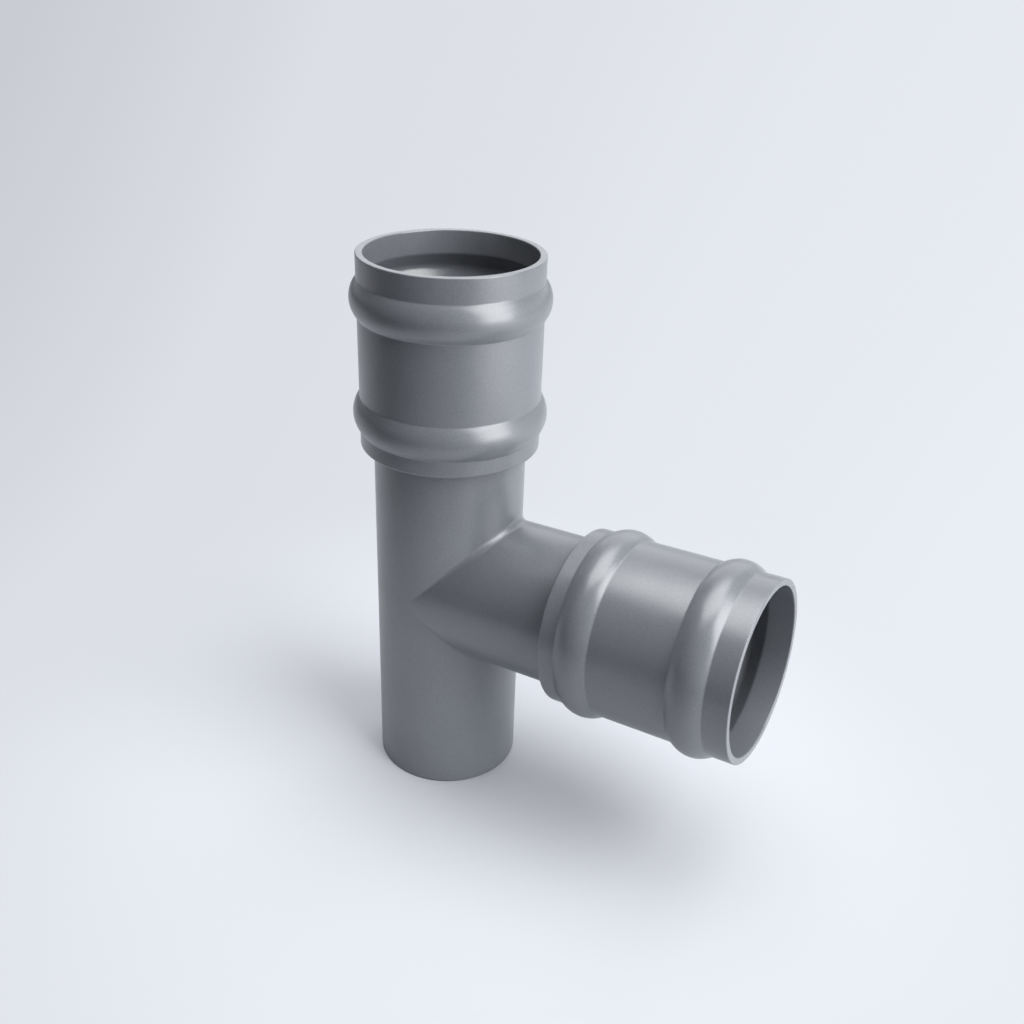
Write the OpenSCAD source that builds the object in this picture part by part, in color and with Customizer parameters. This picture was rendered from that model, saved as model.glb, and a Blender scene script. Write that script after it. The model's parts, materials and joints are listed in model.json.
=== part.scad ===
// Branch for a round rainwater downpipe, moulded in one piece.
// A plain spigot end points down. The same double-beaded socket sits on top
// of the body and on the side branch, which rises slightly from the body.
// Millimetres, +Z up. The origin is the centre of the spigot's lower end,
// and the branch leaves towards +X.

/* [Pipe] */
// Outside diameter of the pipe sections and the spigot
pipe_od = 80; // [60:1:110]
// Wall thickness, the same all over the moulding
wall = 3.6; // [2.4:0.1:4.4]

/* [Body] */
// Free length of the spigot below the branch
spigot_l = 78; // [60:1:120]
// Length of plain pipe between the branch and the top socket
neck_l = 42; // [20:1:80]

/* [Branch] */
// Angle between the spigot and the branch, measured on the flow's side
branch_angle = 87.5; // [80:0.5:90]
// Length of plain pipe between the body and the branch socket
branch_neck_l = 45; // [35:1:90]
// Radius of the moulded fillet along the seam of body and branch
seam_r = 3.5; // [1:0.1:5]

/* [Sockets] */
// Length of a socket from its mouth to its lower end
socket_l = 100; // [85:1:130]
// Gap all round between the pipe that is pushed in and the socket's bore
joint_gap = 3.2; // [1:0.1:6]
// Rounding of the outer edge at the socket's lower end
socket_edge_r = 0.8; // [0.6:0.1:2.4]

/* [Beads] */
// Distance from the mouth to the middle of the mouth bead
mouth_bead_pos = 22; // [16:0.1:30]
// How far the mouth bead stands out of the socket
mouth_bead_h = 3.7; // [2:0.1:5]
// Distance from the socket's lower end to the middle of the lower bead
lower_bead_pos = 17.8; // [16:0.1:28]
// How far the lower bead stands out of the socket
lower_bead_h = 3.4; // [2:0.1:5]
// Radius of a bead's round crown
bead_crown_r = 13.8; // [11:0.1:16]
// Radius of the hollow where a bead runs out into the socket
bead_foot_r = 1.2; // [1:0.1:4]

/* [Edges] */
// Rounding of the edges at the mouths
mouth_edge_r = 0.5; // [0.2:0.1:1]
// Rounding of the edges at the spigot's end
spigot_edge_r = 0.5; // [0.2:0.1:1]

/* [Hidden] */
$fn = 128;
pipe_r = pipe_od / 2;
bore_r = pipe_r - wall;
socket_bore_r = pipe_r + joint_gap;
socket_r = socket_bore_r + wall;
tilt = 90 - branch_angle;
branch_z = spigot_l + pipe_r;
socket_z = spigot_l + pipe_od + neck_l;
branch_socket_x = pipe_r + branch_neck_l;
// Spare length by which a cut runs past the face that it opens
past = 1;
// Angle from the crown at which a seam fillet ends, where the crease is gone
seam_end = 80;
seam_stations = 40;
seam_steps = 6;
// Depth to which a seam fillet is rooted in the wall
seam_root = wall / 4;
// Depth at which the fillet's arc meets the wall, so that it runs out cleanly
seam_sink = 0.02;

// Outline of a round bar from z0 to z1 with both rims rounded, on the +X side
module bar_outline(r, z0, z1, edge0, edge1) {
    difference() {
        translate([0, z0]) square([r, z1 - z0]);
        rim_cut(r, z0, edge0, 1);
        rim_cut(r, z1, edge1, -1);
    }
}

// What is cut from a corner at (r, z) to round it; up is 1 for a lower corner
module rim_cut(r, z, edge, up) {
    if (edge > 0)
        difference() {
            translate([r - edge, up > 0 ? z - past : z - edge])
                square([edge + past, edge + past]);
            translate([r - edge, z + up * edge]) circle(r = edge);
        }
}

// The same for the edge of a bore of radius r that opens at z
module bore_rim_cut(r, z, edge, up) {
    difference() {
        translate([r - past, up > 0 ? z - past : z - edge])
            square([edge + past, edge + past]);
        translate([r + edge, z + up * edge]) circle(r = edge);
    }
}

// Distance from a bead's middle to where its foot runs out, with its outer
// skin standing h above a wall of radius r
function bead_reach(h) =
    sqrt(pow(bead_crown_r + bead_foot_r, 2) - pow(bead_crown_r + bead_foot_r - h, 2));

// One skin of a bead. depth is how far the skin lies inside the outer one.
module bead_outline(h, depth) {
    crown = bead_crown_r - depth;
    foot = bead_foot_r + depth;
    centre_r = socket_r + h - bead_crown_r;
    foot_r = socket_r + bead_foot_r;
    reach = bead_reach(h);
    skin_r = socket_r - depth;
    intersection() {
        translate([centre_r, 0]) circle(r = crown);
        translate([centre_r, -reach]) square([crown + past, 2 * reach]);
    }
    for (side = [-1, 1])
        difference() {
            polygon([[centre_r, 0], [centre_r, side * reach],
                     [skin_r, side * reach], [foot_r, side * reach]]);
            translate([foot_r, side * reach]) circle(r = foot);
        }
}

// Outer or inner skin of a socket, from its lower end to its mouth
module socket_outline(depth) {
    if (depth > 0) {
        translate([0, wall]) square([socket_bore_r, socket_l - wall + past]);
        bore_rim_cut(socket_bore_r, socket_l, mouth_edge_r, -1);
    } else
        bar_outline(socket_r, 0, socket_l, socket_edge_r, mouth_edge_r);
    translate([0, socket_l - mouth_bead_pos]) bead_outline(mouth_bead_h, depth);
    translate([0, lower_bead_pos]) bead_outline(lower_bead_h, depth);
}

module at_branch() {
    translate([0, 0, branch_z]) rotate([0, 90 - tilt, 0]) children();
}

// Points of a seam fillet's section at angle t round the body. A ball of
// radius seam_r that rolls along the crease touches both pipes; up is 1 above
// the branch and -1 below it.
function unit(v) = v / norm(v);
function seam_section(t, up) =
    let (
        reach = pipe_r + seam_r,
        w = up * reach * cos(t),
        z = (w + reach * cos(t) * sin(tilt)) / cos(tilt),
        ball = [reach * cos(t), reach * sin(t), branch_z + z],
        to_body = [-cos(t), -sin(t), 0],
        to_branch = -unit([-w * sin(tilt), reach * sin(t), w * cos(tilt)]),
        spread = acos(to_body * to_branch),
        root = ball + unit(to_body + to_branch) * (seam_r / cos(spread / 2) + seam_root)
    )
    concat(
        [ball + to_body * (seam_r + seam_root)],
        [for (i = [0 : seam_steps])
            let (
                s = i / seam_steps,
                dir = (sin((1 - s) * spread) * to_body + sin(s * spread) * to_branch)
                    / sin(spread),
                sink = i == 0 || i == seam_steps ? seam_sink : 0
            )
            ball + dir * (seam_r + sink)],
        [ball + to_branch * (seam_r + seam_root), root]
    );

module seam_fillet(up) {
    rows = [for (k = [0 : seam_stations])
        seam_section(seam_end * (2 * k / seam_stations - 1), up)];
    n = len(rows[0]);
    sides = [for (k = [0 : seam_stations - 1], i = [0 : n - 1])
        let (a = k * n + i, b = k * n + (i + 1) % n)
        [a, b, b + n, a + n]];
    turned = [for (f = sides) [f[3], f[2], f[1], f[0]]];
    first = [for (i = [0 : n - 1]) i];
    last = [for (i = [0 : n - 1]) seam_stations * n + i];
    flip = function (f) [for (i = [len(f) - 1 : -1 : 0]) f[i]];
    points = [for (row = rows, p = row) p];
    if (up > 0)
        polyhedron(points, concat(turned, [first, flip(last)]));
    else
        polyhedron(points, concat(sides, [flip(first), last]));
}

// Everything that the mould's outside forms
module outer_form() {
    rotate_extrude() bar_outline(pipe_r, 0, socket_z + wall, spigot_edge_r, 0);
    translate([0, 0, socket_z]) rotate_extrude() socket_outline(0);
    at_branch() {
        cylinder(r = pipe_r, h = branch_socket_x + wall);
        translate([0, 0, branch_socket_x]) rotate_extrude() socket_outline(0);
    }
    for (up = [-1, 1]) seam_fillet(up);
}

// The hollow that the cores leave
module inner_form() {
    translate([0, 0, -past]) cylinder(r = bore_r, h = socket_z + wall + 2 * past);
    rotate_extrude() bore_rim_cut(bore_r, 0, spigot_edge_r, 1);
    translate([0, 0, socket_z]) rotate_extrude() socket_outline(wall);
    at_branch() {
        cylinder(r = bore_r, h = branch_socket_x + wall + past);
        translate([0, 0, branch_socket_x]) rotate_extrude() socket_outline(wall);
    }
}

module branch_fitting() {
    color([0.45, 0.47, 0.49])
        difference() {
            outer_form();
            inner_form();
        }
}

branch_fitting();
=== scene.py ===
"""Grey plastic branch for a rainwater downpipe, standing on a pale studio floor."""

import json
import math

import bmesh
import bpy
from mathutils import Matrix, Vector


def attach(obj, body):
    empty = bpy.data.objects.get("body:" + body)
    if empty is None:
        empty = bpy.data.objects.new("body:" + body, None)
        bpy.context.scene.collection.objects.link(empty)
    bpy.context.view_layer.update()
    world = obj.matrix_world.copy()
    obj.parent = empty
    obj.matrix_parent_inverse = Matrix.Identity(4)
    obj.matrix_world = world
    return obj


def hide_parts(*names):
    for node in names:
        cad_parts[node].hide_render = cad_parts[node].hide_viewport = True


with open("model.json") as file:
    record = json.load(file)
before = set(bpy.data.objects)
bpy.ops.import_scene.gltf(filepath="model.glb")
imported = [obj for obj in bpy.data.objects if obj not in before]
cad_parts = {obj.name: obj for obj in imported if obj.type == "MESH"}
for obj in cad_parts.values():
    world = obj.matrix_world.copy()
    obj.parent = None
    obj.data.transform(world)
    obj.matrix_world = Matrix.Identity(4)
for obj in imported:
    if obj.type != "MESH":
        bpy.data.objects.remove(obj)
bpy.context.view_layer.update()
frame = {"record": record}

MM = 0.001
QUARTER = math.pi / 2

# Sizes from the frame's mounts. The moulding's lengths are in metres and its angles in radians.
mounts = {mount["name"]: mount for mount in frame["record"]["mounts"]}
PIPE_R = mounts["spigot"]["dims"]["r_mm"] * MM
SPIGOT_L = mounts["spigot"]["dims"]["length_mm"] * MM
SOCKET_BORE_R = mounts["top_socket"]["dims"]["r_mm"] * MM
SOCKET_DEPTH = mounts["top_socket"]["dims"]["length_mm"] * MM
SOCKET_R = mounts["clip_seat"]["dims"]["r_mm"] * MM
WALL = SOCKET_R - SOCKET_BORE_R
BORE_R = PIPE_R - WALL
SOCKET_L = SOCKET_DEPTH + WALL
TOP_Z = mounts["top_socket"]["pos_m"][2] + SOCKET_DEPTH / 2
BRANCH_Z = SPIGOT_L + PIPE_R
BRANCH_AXIS = Vector(mounts["branch_socket"]["axis"])
TILT = math.atan2(BRANCH_AXIS.z, BRANCH_AXIS.x)
BRANCH_L = mounts["branch_socket"]["pos_m"][0] / math.cos(TILT) + SOCKET_DEPTH / 2

# Sizes of the beads. A POS is the distance from the socket's mouth to a bead's or hollow's middle.
MOUTH_BEAD_POS = 22.0 * MM
MOUTH_BEAD_H = 3.7 * MM
LOWER_BEAD_POS = SOCKET_L - 17.8 * MM
LOWER_BEAD_H = 3.4 * MM
BEAD_CROWN_R = 13.8 * MM
BEAD_FOOT_R = 1.2 * MM
# The hollow behind a mouth bead is shorter than the bead, as the light in the photograph shows
TOP_HOLLOW_POS = 20.0 * MM
BRANCH_HOLLOW_POS = 21.6 * MM
HOLLOW_H = 4.1 * MM
HOLLOW_CROWN_R = 3.9 * MM
HOLLOW_FOOT_R = 3.0 * MM
HOLLOW_FLANK = math.radians(33)
# Rounding of the edges, the seams and the inner corners
SOCKET_EDGE_R = 0.8 * MM
MOUTH_EDGE_R = 0.5 * MM
SPIGOT_EDGE_R = 0.5 * MM
SEAM_R = 3.5 * MM
INNER_SEAM_R = 0.5 * MM
CORNER_R = 0.4 * MM

# Mesh density. COLUMNS is a multiple of four, so that two columns run through the seams' ends.
COLUMNS = 240
SEAM_STEPS = 6
FOOT_STEPS = 4
CROWN_STEPS = 20
EDGE_STEPS = 4
# A row this close to each edge keeps the shading of the plain walls even
SUPPORT = 0.4 * MM
ROW_SPACING = 14 * MM
# The longest way between a seam and a socket, which sets the number of rows on it
NECK_GAP = 80 * MM

# Camera, from a fit to the photograph's outline. Angles in degrees, lengths in metres.
CAMERA_AZIMUTH = 34.525
CAMERA_DISTANCE = 0.5268
CAMERA_HEIGHT = 0.4377
CAMERA_YAW = 3.707
CAMERA_PITCH = 28.008
CAMERA_ROLL = 2.161
FOCAL_PX = 1089.5
IMAGE_PX = 1024
SENSOR_MM = 36.0
CLIP_START = 0.01
CLIP_END = 50

# Satin grey PVC. A noise has a scale per metre and a number of octaves, and heights are in metres.
PVC_COLOUR = (0.169, 0.18, 0.2)
PVC_DRIFT = 0.14
PVC_ROUGHNESS = (0.28, 0.33)
PVC_SPECULAR = 1.0
DRIFT_NOISE = (22, 3)
SPECKLE_NOISE = (1400, 2)
GLOSS_NOISE = (60, 4)
WAVE_NOISE = (35, 1)
GRAIN_NOISE = (1100, 3)
WAVE_HEIGHT = 0.00004
GRAIN_HEIGHT = 0.00002
# The part of the range from 0 to 1 that a noise mostly fills
NOISE_RANGE = (0.3, 0.7)
# Weight of the speckle beside the drift's 1, and how far their sum spreads to each side
SPECKLE_SHARE = 2.0
SHADE_SPAN = 0.5

# In the studio an azimuth is in degrees from the camera to its right, seen from above. A side is from
# -1 to 1, with 1 straight towards an azimuth. Levels are linear, and distances are in metres.

# Floor of paper, which seen from the camera gives way to a plain background further out
FLOOR_COLOUR = (0.586, 0.604, 0.648)
FLOOR_ROUGHNESS = 0.9
FLOOR_SPECULAR = 0.1
FLOOR_RINGS = (0.3, 0.8, 2, 6, 40)
FLOOR_COLUMNS = 64
# Distances over which the background comes in, and its share near the fitting, which is painted light
# that lifts the fitting's shadow for the camera
FLOOR_FADE = (0.08, 0.34)
PAINTED_FILL_SHARE = 0.12
# Distances over which the paper ends in the room
PAPER_EDGE = (3, 6)
# Parts of the floor with another colour, each an azimuth and the distances and sides over which it
# comes in. The paper is painted brighter towards the keys, a painted pool of light, and painted dark
# for unseen rays on the left, a painted shade.
# Painted pool of light: the paper's colour brightens towards the keys, where their light falls
PAINTED_POOL_COLOUR = (0.95, 0.95, 0.96)
PAINTED_POOL_PATCH = (54, (0.25, 0.9), (0.75, 0.95))
# Painted shade: the paper on the left is dark for unseen rays
PAINTED_SHADE_PATCH = (330, (0.1, 0.7), (0, 0.8))

# Plain background, with pairs of a side and a level. On the floor the levels are painted light,
# darker on the left and lighter towards FLOOR_AZIMUTH, where the lamps light the floor. Above the
# horizon the camera sees the far floor's levels too. Glossy rays find a wall there, which gives way
# to the dark room between the two elevations of WALL_TOP, in degrees.
BACKGROUND_TINT = (1, 1.032, 1.104)
FLOOR_AZIMUTH = 70
FLOOR_PAINTED_LIGHT_TONES = (
    (-0.606, 0.585), (-0.409, 0.712), (-0.211, 0.734),
    (-0.013, 0.781), (0.185, 0.795), (0.382, 0.825),
)
# Distance from the fitting over which the floor's two sides run together
SIDE_SOFTNESS = 0.5
WALL_AZIMUTH = 125
WALL_TONES = ((-0.7, 0.1), (-0.2, 0.5), (0.14, 0.575), (0.45, 0.755), (0.78, 0.73), (1, 0.6))
WALL_TOP = (8, 24)
ROOM_COLOUR = (0.05, 0.052, 0.055)

# Soft light: a faint even fill, and lamps that all face the middle of the fitting
FILL_COLOUR = (0.7, 0.78, 1.0)
FILL_STRENGTH = 0.03
MIDDLE = Vector((0.06, 0, 0.16))
LAMP_DISTANCE = 2.6
# Name, azimuth, elevation, width, height and power
LAMPS = (
    ("key_low", 52, 14, 1.74, 1.57, 48.5),
    ("key_high", 55.5, 46, 1.83, 1.44, 49),
    ("top", 182, 84, 2.5, 2.05, 68),
    ("top_front", 30, 74, 1.37, 0.68, 4),
    ("top_back", 165, 55, 1.64, 0.68, 5.4),
    ("back", 165, 25, 2.5, 1.4, 11.5),
)

# Places of a Mix node's colour sockets, which share their names with its other sockets
MIX_FIRST = 6
MIX_SECOND = 7
MIX_RESULT = 2


class Skin:
    """A surface, built up from rows of points that bridge() joins with faces."""

    def __init__(self):
        self.points = []
        self.faces = []

    def point(self, place):
        """Adds a point and gives its number."""
        self.points.append(place)
        return len(self.points) - 1

    def row(self, places):
        return [self.point(place) for place in places]

    def bridge(self, first, second, closed=True):
        """Joins two rows of the same length. Corners that share a point make a triangle."""
        count = len(first)
        for i in range(count if closed else count - 1):
            j = (i + 1) % count
            corners = list(dict.fromkeys((first[i], first[j], second[j], second[i])))
            if len(corners) > 2:
                self.faces.append(corners)

    def bridge_all(self, rows):
        for first, second in zip(rows, rows[1:]):
            self.bridge(first, second)


def column_angle(column):
    return 2 * math.pi * column / COLUMNS


def body_point(radius, height, column):
    angle = column_angle(column)
    return Vector((radius * math.cos(angle), radius * math.sin(angle), height))


def branch_point(radius, along, column):
    """A point on a ring round the branch's axis. Column 0 is on top, and the next are towards +Y."""
    angle = column_angle(column)
    side = radius * math.sin(angle)
    up = radius * math.cos(angle)
    return Vector((
        along * math.cos(TILT) - up * math.sin(TILT),
        side,
        BRANCH_Z + along * math.sin(TILT) + up * math.cos(TILT),
    ))


def bead_rows(middle, height, wall_r, crown, foot, steepest=QUARTER):
    """Points (distance from the mouth, radius) of one bead, from the socket's lower end to its mouth.

    The bead rises by height from a wall of radius wall_r. crown and foot are the radii of its arcs,
    with a straight flank between them where its slope would pass the steepest angle.
    """
    spread = crown + foot
    angle = min(math.acos((spread - height) / spread), steepest)
    flank = height - spread * (1 - math.cos(angle))
    reach = spread * math.sin(angle) + flank / math.tan(angle)
    turns = [angle * i / FOOT_STEPS for i in range(FOOT_STEPS + 1)]
    rising = [
        (middle + reach - foot * math.sin(t), wall_r + foot - foot * math.cos(t))
        for t in turns
    ]
    falling = [(2 * middle - s, r) for s, r in reversed(rising)]
    # Without a straight flank the crown's two ends are the feet's
    skip = 0 if flank > SUPPORT else 1
    turns = [angle * (1 - 2 * i / CROWN_STEPS) for i in range(skip, CROWN_STEPS + 1 - skip)]
    centre_r = wall_r + height - crown
    top = [(middle + crown * math.sin(t), centre_r + crown * math.cos(t)) for t in turns]
    return [
        (middle + reach + SUPPORT, wall_r),
        *rising,
        *top,
        *falling,
        (middle - reach - SUPPORT, wall_r),
    ]


def edge_rows(along, radius, edge, start):
    """A quarter turn of radius edge round (along, radius), from the angle start on.

    The angle 0 points outwards, and QUARTER points to the mouth.
    """
    turns = [start + QUARTER * i / EDGE_STEPS for i in range(EDGE_STEPS + 1)]
    return [(along - edge * math.sin(t), radius + edge * math.cos(t)) for t in turns]


def socket_rows(hollow_pos):
    """Points (distance from the mouth, radius) of a socket, from the pipe outside to the bore.

    hollow_pos is the distance from the mouth to the middle of the mouth bead's hollow.
    """
    corner_out = edge_rows(SOCKET_L + CORNER_R, PIPE_R + CORNER_R, CORNER_R, QUARTER)
    corner_in = edge_rows(SOCKET_DEPTH - CORNER_R, SOCKET_BORE_R - CORNER_R, CORNER_R, -QUARTER)
    shoulder = edge_rows(SOCKET_DEPTH + CORNER_R, BORE_R + CORNER_R, CORNER_R, QUARTER)
    lower_bead = bead_rows(LOWER_BEAD_POS, LOWER_BEAD_H, SOCKET_R, BEAD_CROWN_R, BEAD_FOOT_R)
    mouth_bead = bead_rows(MOUTH_BEAD_POS, MOUTH_BEAD_H, SOCKET_R, BEAD_CROWN_R, BEAD_FOOT_R)
    lower_hollow = bead_rows(
        LOWER_BEAD_POS, LOWER_BEAD_H, SOCKET_BORE_R, BEAD_CROWN_R - WALL, BEAD_FOOT_R + WALL,
    )
    mouth_hollow = bead_rows(
        hollow_pos, HOLLOW_H, SOCKET_BORE_R, HOLLOW_CROWN_R, HOLLOW_FOOT_R, HOLLOW_FLANK,
    )
    outside = [
        (SOCKET_L + CORNER_R + SUPPORT, PIPE_R),
        *reversed(corner_out),
        (SOCKET_L, PIPE_R + CORNER_R + SUPPORT),
        (SOCKET_L, SOCKET_R - SOCKET_EDGE_R - SUPPORT),
        *edge_rows(SOCKET_L - SOCKET_EDGE_R, SOCKET_R - SOCKET_EDGE_R, SOCKET_EDGE_R, -QUARTER),
        (SOCKET_L - SOCKET_EDGE_R - SUPPORT, SOCKET_R),
        *lower_bead,
        *mouth_bead,
        (MOUTH_EDGE_R + SUPPORT, SOCKET_R),
        *edge_rows(MOUTH_EDGE_R, SOCKET_R - MOUTH_EDGE_R, MOUTH_EDGE_R, 0),
        (0, SOCKET_R - MOUTH_EDGE_R - SUPPORT),
    ]
    inside = [
        (0, SOCKET_BORE_R + MOUTH_EDGE_R + SUPPORT),
        *edge_rows(MOUTH_EDGE_R, SOCKET_BORE_R + MOUTH_EDGE_R, MOUTH_EDGE_R, QUARTER),
        (MOUTH_EDGE_R + SUPPORT, SOCKET_BORE_R),
        *reversed(mouth_hollow),
        *reversed(lower_hollow),
        (SOCKET_DEPTH - CORNER_R - SUPPORT, SOCKET_BORE_R),
        *reversed(corner_in),
        (SOCKET_DEPTH, SOCKET_BORE_R - CORNER_R - SUPPORT),
        (SOCKET_DEPTH, BORE_R + CORNER_R + SUPPORT),
        *shoulder,
        (SOCKET_DEPTH + CORNER_R + SUPPORT, BORE_R),
    ]
    return outside + inside


def seam_ball(radius, seam_r, column, up):
    """Centre of the ball of radius seam_r that rolls along the crease of two pipes of one radius.

    up is 1 for the crease above the branch and -1 for the one below it.
    """
    angle = column_angle(column)
    reach = radius + seam_r
    out = reach * math.cos(angle)
    height = (up * out + out * math.sin(TILT)) / math.cos(TILT)
    return Vector((out, reach * math.sin(angle), BRANCH_Z + height))


def seam_strip(skin, radius, seam_r, up, first, last):
    """Fills the crease between a row on the body and the row on the branch with the ball's arc."""
    branch_up = Vector((-math.sin(TILT), 0, math.cos(TILT)))
    front = range(-COLUMNS // 4, COLUMNS // 4 + 1)
    rows = [first]
    for step in range(1, SEAM_STEPS):
        row = []
        for i, column in enumerate(front):
            angle = column_angle(column)
            if first[i] == last[i]:
                row.append(first[i])
                continue
            ball = seam_ball(radius, seam_r, column, up)
            to_body = Vector((-math.cos(angle), -math.sin(angle), 0))
            to_branch = -up * math.cos(angle) * branch_up - Vector((0, math.sin(angle), 0))
            turned = to_body.slerp(to_branch, step / SEAM_STEPS)
            row.append(skin.point(ball + seam_r * turned))
        rows.append(row)
    rows.append(last)
    for near, far in zip(rows, rows[1:]):
        skin.bridge(near, far, closed=False)


def spread_rows(gap):
    """Shares of a gap between two rows at which more rows are put, with one near each end."""
    count = max(1, round(gap / ROW_SPACING))
    near = SUPPORT / gap
    return [near + (1 - 2 * near) * i / count for i in range(count + 1)]


def blend_rows(skin, first, last, gap):
    """The two rows, which lie up to gap apart, with new rows between them."""
    pairs = [(skin.points[a], skin.points[b]) for a, b in zip(first, last)]
    rows = [skin.row([a.lerp(b, share) for a, b in pairs]) for share in spread_rows(gap)]
    return [first, *rows, last]


def pipe_skin(skin, radius, seam_r):
    """Seam rows of one skin: round the body below the branch and above it, and round the branch.

    Behind the branch the two rows round the body are one, and each end of the seam is one point
    in all three.
    """
    quarter = COLUMNS // 4
    columns = range(COLUMNS)
    above, below, branch = {}, {}, {}
    for column in range(-quarter, COLUMNS - quarter):
        key = column % COLUMNS
        if column > quarter or abs(column) == quarter:
            above[key] = below[key] = skin.point(body_point(radius, BRANCH_Z, column))
            if abs(column) == quarter:
                branch[key] = above[key]
            continue
        for up, row in ((1, above), (-1, below)):
            ball = seam_ball(radius, seam_r, column, up)
            row[key] = skin.point(body_point(radius, ball.z, column))
            along = (ball.x + up * ball.x * math.sin(TILT)) / math.cos(TILT)
            turned = column if up > 0 else COLUMNS // 2 - column
            branch[turned % COLUMNS] = skin.point(branch_point(radius, along, turned))
    above = [above[i] for i in columns]
    below = [below[i] for i in columns]
    branch = [branch[i] for i in columns]
    front = range(-quarter, quarter + 1)
    for up, row in ((1, above), (-1, below)):
        on_body = [row[i % COLUMNS] for i in front]
        on_branch = [branch[(i if up > 0 else COLUMNS // 2 - i) % COLUMNS] for i in front]
        seam_strip(skin, radius, seam_r, up, on_body, on_branch)
    return below, above, branch


def make_fitting():
    """The whole moulding as one closed mesh: two pipes, their sockets and the seam."""
    skin = Skin()
    outer = pipe_skin(skin, PIPE_R, SEAM_R)
    inner = pipe_skin(skin, BORE_R, INNER_SEAM_R)

    # Spigot, from its bore round its end to its outside. The arcs turn up into the wall, so each edge
    # is a thin lip with a notch of twice the arc's radius beside it, and isn't rounded.
    edge = SPIGOT_EDGE_R
    profile = [
        *reversed(edge_rows(-edge, BORE_R + edge, edge, QUARTER)),
        (0, BORE_R + edge + SUPPORT),
        (0, PIPE_R - edge - SUPPORT),
        *reversed(edge_rows(-edge, PIPE_R - edge, edge, 0)),
    ]
    rows = [skin.row([body_point(r, abs(s), c) for c in range(COLUMNS)]) for s, r in profile]
    skin.bridge_all(rows)

    # Plain walls and sockets of the body and the branch
    def body_ring(s, r):
        return skin.row([body_point(r, TOP_Z - s, c) for c in range(COLUMNS)])

    def branch_ring(s, r):
        return skin.row([branch_point(r, BRANCH_L - s, c) for c in range(COLUMNS)])

    skin.bridge_all(blend_rows(skin, inner[0], rows[0], SPIGOT_L))
    skin.bridge_all(blend_rows(skin, rows[-1], outer[0], SPIGOT_L))
    sockets = ((body_ring, 1, TOP_HOLLOW_POS), (branch_ring, 2, BRANCH_HOLLOW_POS))
    for ring, seam, hollow_pos in sockets:
        rows = [ring(s, r) for s, r in socket_rows(hollow_pos)]
        skin.bridge_all(rows)
        skin.bridge_all(blend_rows(skin, outer[seam], rows[0], NECK_GAP))
        skin.bridge_all(blend_rows(skin, rows[-1], inner[seam], NECK_GAP))

    mesh = bpy.data.meshes.new("moulding")
    mesh.from_pydata(skin.points, [], skin.faces)
    surface = bmesh.new()
    surface.from_mesh(mesh)
    bmesh.ops.recalc_face_normals(surface, faces=surface.faces)
    surface.to_mesh(mesh)
    surface.free()
    mesh.shade_smooth()
    fitting = bpy.data.objects.new("moulding", mesh)
    bpy.context.scene.collection.objects.link(fitting)
    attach(fitting, "root")
    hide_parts("branch_fitting")
    return fitting


def make_camera():
    data = bpy.data.cameras.new("camera")
    data.sensor_width = SENSOR_MM
    data.lens = SENSOR_MM * FOCAL_PX / IMAGE_PX
    data.clip_start = CLIP_START
    data.clip_end = CLIP_END
    camera = bpy.data.objects.new("camera", data)
    bpy.context.scene.collection.objects.link(camera)
    azimuth = math.radians(CAMERA_AZIMUTH)
    place = Vector((
        CAMERA_DISTANCE * math.sin(azimuth),
        -CAMERA_DISTANCE * math.cos(azimuth),
        CAMERA_HEIGHT,
    ))
    turn = Matrix.Rotation(azimuth - math.radians(CAMERA_YAW), 4, "Z")
    tip = Matrix.Rotation(math.radians(90 - CAMERA_PITCH), 4, "X")
    roll = Matrix.Rotation(math.radians(CAMERA_ROLL), 4, "Z")
    camera.matrix_world = Matrix.Translation(place) @ turn @ tip @ roll
    bpy.context.scene.camera = camera


def add_math(tree, operation, *values):
    """A Math node's result. The values are sockets or numbers."""
    node = tree.nodes.new("ShaderNodeMath")
    node.operation = operation
    for socket, value in zip(node.inputs, values):
        if isinstance(value, (int, float)):
            socket.default_value = value
        else:
            tree.links.new(value, socket)
    return node.outputs["Value"]


def add_range(tree, value, source, target, smooth=False):
    """value, with the pair of numbers source mapped to the pair target, and held there beyond it."""
    node = tree.nodes.new("ShaderNodeMapRange")
    if smooth:
        node.interpolation_type = "SMOOTHSTEP"
    node.inputs["From Min"].default_value, node.inputs["From Max"].default_value = source
    node.inputs["To Min"].default_value, node.inputs["To Max"].default_value = target
    tree.links.new(value, node.inputs["Value"])
    return node.outputs["Result"]


def add_blend(tree, share, first, second):
    """A colour between first and second, each a colour or a socket, by share from 0 to 1."""
    node = tree.nodes.new("ShaderNodeMix")
    node.data_type = "RGBA"
    tree.links.new(share, node.inputs["Factor"])
    for socket, value in ((node.inputs[MIX_FIRST], first), (node.inputs[MIX_SECOND], second)):
        if isinstance(value, tuple):
            socket.default_value = (*value, 1)
        else:
            tree.links.new(value, socket)
    return node.outputs[MIX_RESULT]


def mix_surface(tree, share, first, second, output):
    """Gives the output node a surface between first and second, by share from 0 to 1."""
    mix = tree.nodes.new("ShaderNodeMixShader")
    for socket, source in zip(mix.inputs, (share, first, second)):
        tree.links.new(source, socket)
    tree.links.new(mix.outputs["Shader"], tree.nodes[output].inputs["Surface"])


def add_noise(tree, place, scale, detail):
    """A noise over a place, with its scale per metre and its number of octaves."""
    node = tree.nodes.new("ShaderNodeTexNoise")
    node.inputs["Scale"].default_value = scale
    node.inputs["Detail"].default_value = detail
    tree.links.new(place, node.inputs["Vector"])
    return node.outputs["Fac"]


def add_bump(tree, value, height, normal=None):
    """A normal bent by value, on top of another one where it is given."""
    node = tree.nodes.new("ShaderNodeBump")
    node.inputs["Distance"].default_value = height
    tree.links.new(value, node.inputs["Height"])
    if normal:
        tree.links.new(normal, node.inputs["Normal"])
    return node.outputs["Normal"]


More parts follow.
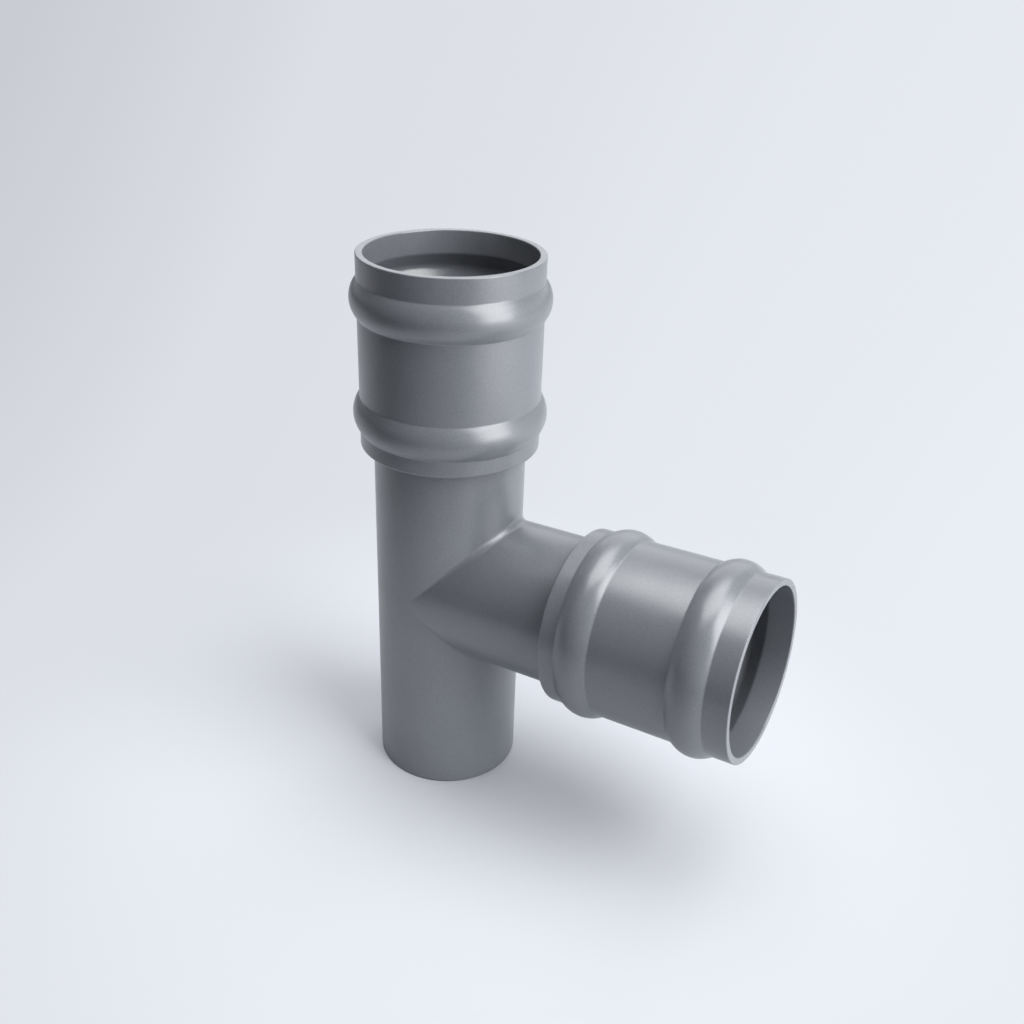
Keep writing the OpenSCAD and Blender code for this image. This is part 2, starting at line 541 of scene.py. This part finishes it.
def make_material():
    """Satin moulded PVC: grey through and through, with a fine grain from the mould's surface."""
    mat = bpy.data.materials.new("grey_pvc")
    mat.use_nodes = True
    tree = mat.node_tree
    bsdf = tree.nodes["Principled BSDF"]
    bsdf.inputs["Specular IOR Level"].default_value = PVC_SPECULAR
    place = tree.nodes.new("ShaderNodeTexCoord").outputs["Object"]

    # Colour: slow drift of the melt with a faint speckle of the pigment in it
    drift = add_noise(tree, place, *DRIFT_NOISE)
    speckle = add_noise(tree, place, *SPECKLE_NOISE)
    shade = add_math(tree, "MULTIPLY_ADD", speckle, SPECKLE_SHARE, drift)
    middle = (1 + SPECKLE_SHARE) / 2
    span = (middle - SHADE_SPAN, middle + SHADE_SPAN)
    ramp = tree.nodes.new("ShaderNodeValToRGB")
    for stop, level in zip(ramp.color_ramp.elements, (1 - PVC_DRIFT, 1 + PVC_DRIFT)):
        stop.color = (*[c * level for c in PVC_COLOUR], 1)
    tree.links.new(add_range(tree, shade, span, (0, 1)), ramp.inputs["Fac"])
    tree.links.new(ramp.outputs["Color"], bsdf.inputs["Base Color"])

    # Gloss: patchy, as on a mould that is polished by hand
    gloss = add_noise(tree, place, *GLOSS_NOISE)
    tree.links.new(add_range(tree, gloss, NOISE_RANGE, PVC_ROUGHNESS), bsdf.inputs["Roughness"])

    # Slow waviness of a cooled wall, and the mould's grain on it
    wave = add_bump(tree, add_noise(tree, place, *WAVE_NOISE), WAVE_HEIGHT)
    grain = add_bump(tree, add_noise(tree, place, *GRAIN_NOISE), GRAIN_HEIGHT, wave)
    tree.links.new(grain, bsdf.inputs["Normal"])
    return mat


def studio_direction(azimuth):
    """The level direction at an azimuth from the camera to its right, seen from above."""
    turn = math.radians(CAMERA_AZIMUTH + azimuth)
    return Vector((math.sin(turn), -math.cos(turn), 0))


def make_lamp(name, azimuth, elevation, width, height, power):
    data = bpy.data.lights.new(name, "AREA")
    data.shape = "RECTANGLE"
    data.size = width
    data.size_y = height
    data.energy = power
    lamp = bpy.data.objects.new(name, data)
    bpy.context.scene.collection.objects.link(lamp)
    rise = math.radians(elevation)
    outwards = math.cos(rise) * studio_direction(azimuth) + Vector((0, 0, math.sin(rise)))
    lamp.location = MIDDLE + LAMP_DISTANCE * outwards
    lamp.rotation_mode = "QUATERNION"
    lamp.rotation_quaternion = (-outwards).to_track_quat("-Z", "Y")


def add_flat_length(tree, place):
    """The length of a place or a direction as seen from above."""
    flat = tree.nodes.new("ShaderNodeVectorMath")
    flat.operation = "MULTIPLY"
    flat.inputs[1].default_value = (1, 1, 0)
    tree.links.new(place, flat.inputs[0])
    length = tree.nodes.new("ShaderNodeVectorMath")
    length.operation = "LENGTH"
    tree.links.new(flat.outputs["Vector"], length.inputs[0])
    return length.outputs["Value"]


def add_side(tree, place, azimuth, soften):
    """The side of a place or a direction, from -1 to 1, with 1 straight towards the azimuth.

    soften is the distance from the fitting over which the two sides run together.
    """
    across = tree.nodes.new("ShaderNodeVectorMath")
    across.operation = "DOT_PRODUCT"
    across.inputs[1].default_value = studio_direction(azimuth)
    tree.links.new(place, across.inputs[0])
    reach = add_math(tree, "ADD", add_flat_length(tree, place), soften)
    return add_math(tree, "DIVIDE", across.outputs["Value"], reach)


def add_patch(tree, place, distance, azimuth, distances, sides):
    """1 on the part of the floor that lies far enough out and near enough to the azimuth."""
    away = add_range(tree, distance, distances, (0, 1), smooth=True)
    turned = add_range(tree, add_side(tree, place, azimuth, 0), sides, (0, 1), smooth=True)
    return add_math(tree, "MULTIPLY", away, turned)


def backdrop_colour(tree, side, tones):
    """The plain background's colour. tones are pairs of a side and a level."""
    ramp = tree.nodes.new("ShaderNodeValToRGB")
    stops = ramp.color_ramp.elements
    while len(stops) < len(tones):
        stops.new(1)
    for stop, (where, tone) in zip(stops, tones):
        stop.position = (where + 1) / 2
        stop.color = (*[tone * c for c in BACKGROUND_TINT], 1)
    tree.links.new(add_range(tree, side, (-1, 1), (0, 1)), ramp.inputs["Fac"])
    return ramp.outputs["Color"]


def make_floor_material():
    """Pale paper near the fitting. Further out the camera sees the plain background in its place."""
    mat = bpy.data.materials.new("floor")
    mat.use_nodes = True
    tree = mat.node_tree
    bsdf = tree.nodes["Principled BSDF"]
    bsdf.inputs["Roughness"].default_value = FLOOR_ROUGHNESS
    bsdf.inputs["Specular IOR Level"].default_value = FLOOR_SPECULAR
    place = tree.nodes.new("ShaderNodeTexCoord").outputs["Object"]
    distance = add_flat_length(tree, place)
    camera_ray = tree.nodes.new("ShaderNodeLightPath").outputs["Is Camera Ray"]

    # Paper, with a painted pool of light near the keys, painted shade for unseen rays on the left,
    # and dark in the room
    unseen = add_math(tree, "SUBTRACT", 1, camera_ray)
    # Painted pool of light: brighter paper towards the keys
    painted_pool = add_patch(tree, place, distance, *PAINTED_POOL_PATCH)
    # Painted shade: unseen rays find the paper dark on the left
    shade = add_math(tree, "MULTIPLY", add_patch(tree, place, distance, *PAINTED_SHADE_PATCH), unseen)
    end = add_range(tree, distance, PAPER_EDGE, (0, 1), smooth=True)
    paper = add_blend(tree, painted_pool, FLOOR_COLOUR, PAINTED_POOL_COLOUR)
    paper = add_blend(tree, add_math(tree, "MAXIMUM", shade, end), paper, ROOM_COLOUR)
    tree.links.new(paper, bsdf.inputs["Base Color"])

    # Plain background for the camera, with the floor's painted light: darker on the left, lighter
    # towards the lamps
    plain = tree.nodes.new("ShaderNodeEmission")
    side = add_side(tree, place, FLOOR_AZIMUTH, SIDE_SOFTNESS)
    tree.links.new(backdrop_colour(tree, side, FLOOR_PAINTED_LIGHT_TONES), plain.inputs["Color"])
    # Near the fitting the background's share is painted light over the real shadow
    far = add_range(tree, distance, FLOOR_FADE, (PAINTED_FILL_SHARE, 1), smooth=True)
    share = add_math(tree, "MULTIPLY", far, camera_ray)
    mix_surface(tree, share, bsdf.outputs["BSDF"], plain.outputs["Emission"], "Material Output")
    return mat


def make_stage():
    """A wide flat floor that runs out to the horizon."""
    skin = Skin()
    rows = [[skin.point(Vector((0, 0, 0)))] * FLOOR_COLUMNS]
    for radius in FLOOR_RINGS:
        turns = [2 * math.pi * i / FLOOR_COLUMNS for i in range(FLOOR_COLUMNS)]
        places = [Vector((radius * math.cos(t), radius * math.sin(t), 0)) for t in turns]
        rows.append(skin.row(places))
    skin.bridge_all(rows)
    mesh = bpy.data.meshes.new("floor")
    mesh.from_pydata(skin.points, [], skin.faces)
    floor = bpy.data.objects.new("floor", mesh)
    bpy.context.scene.collection.objects.link(floor)
    mesh.materials.append(make_floor_material())


def make_world():
    """The plain background for camera, glossy and transmission rays, and a faint light for others."""
    world = bpy.data.worlds.new("world")
    bpy.context.scene.world = world
    world.use_nodes = True
    tree = world.node_tree
    light = tree.nodes["Background"]
    light.inputs["Color"].default_value = (*FILL_COLOUR, 1)
    light.inputs["Strength"].default_value = FILL_STRENGTH
    plain = tree.nodes.new("ShaderNodeBackground")
    direction = tree.nodes.new("ShaderNodeTexCoord").outputs["Generated"]
    parts = tree.nodes.new("ShaderNodeSeparateXYZ")
    tree.links.new(direction, parts.inputs["Vector"])
    heights = tuple(math.sin(math.radians(rise)) for rise in WALL_TOP)
    above = add_range(tree, parts.outputs["Z"], heights, (0, 1), smooth=True)
    wall = backdrop_colour(tree, add_side(tree, direction, WALL_AZIMUTH, 0), WALL_TONES)
    # Above the horizon the camera sees the floor's painted light, darker on the left
    far_floor = backdrop_colour(tree, add_side(tree, direction, FLOOR_AZIMUTH, 0), FLOOR_PAINTED_LIGHT_TONES)
    rays = tree.nodes.new("ShaderNodeLightPath").outputs
    room = add_blend(tree, above, wall, ROOM_COLOUR)
    tone = add_blend(tree, rays["Is Camera Ray"], room, far_floor)
    tree.links.new(tone, plain.inputs["Color"])
    seen = add_math(tree, "MAXIMUM", rays["Is Camera Ray"], rays["Is Glossy Ray"])
    seen = add_math(tree, "MAXIMUM", seen, rays["Is Transmission Ray"])
    mix_surface(
        tree, seen, light.outputs["Background"], plain.outputs["Background"], "World Output",
    )


make_camera()
fitting = make_fitting()
fitting.data.materials.append(make_material())
make_stage()
for lamp in LAMPS:
    make_lamp(*lamp)
make_world()
bpy.context.scene.view_settings.view_transform = "Standard"
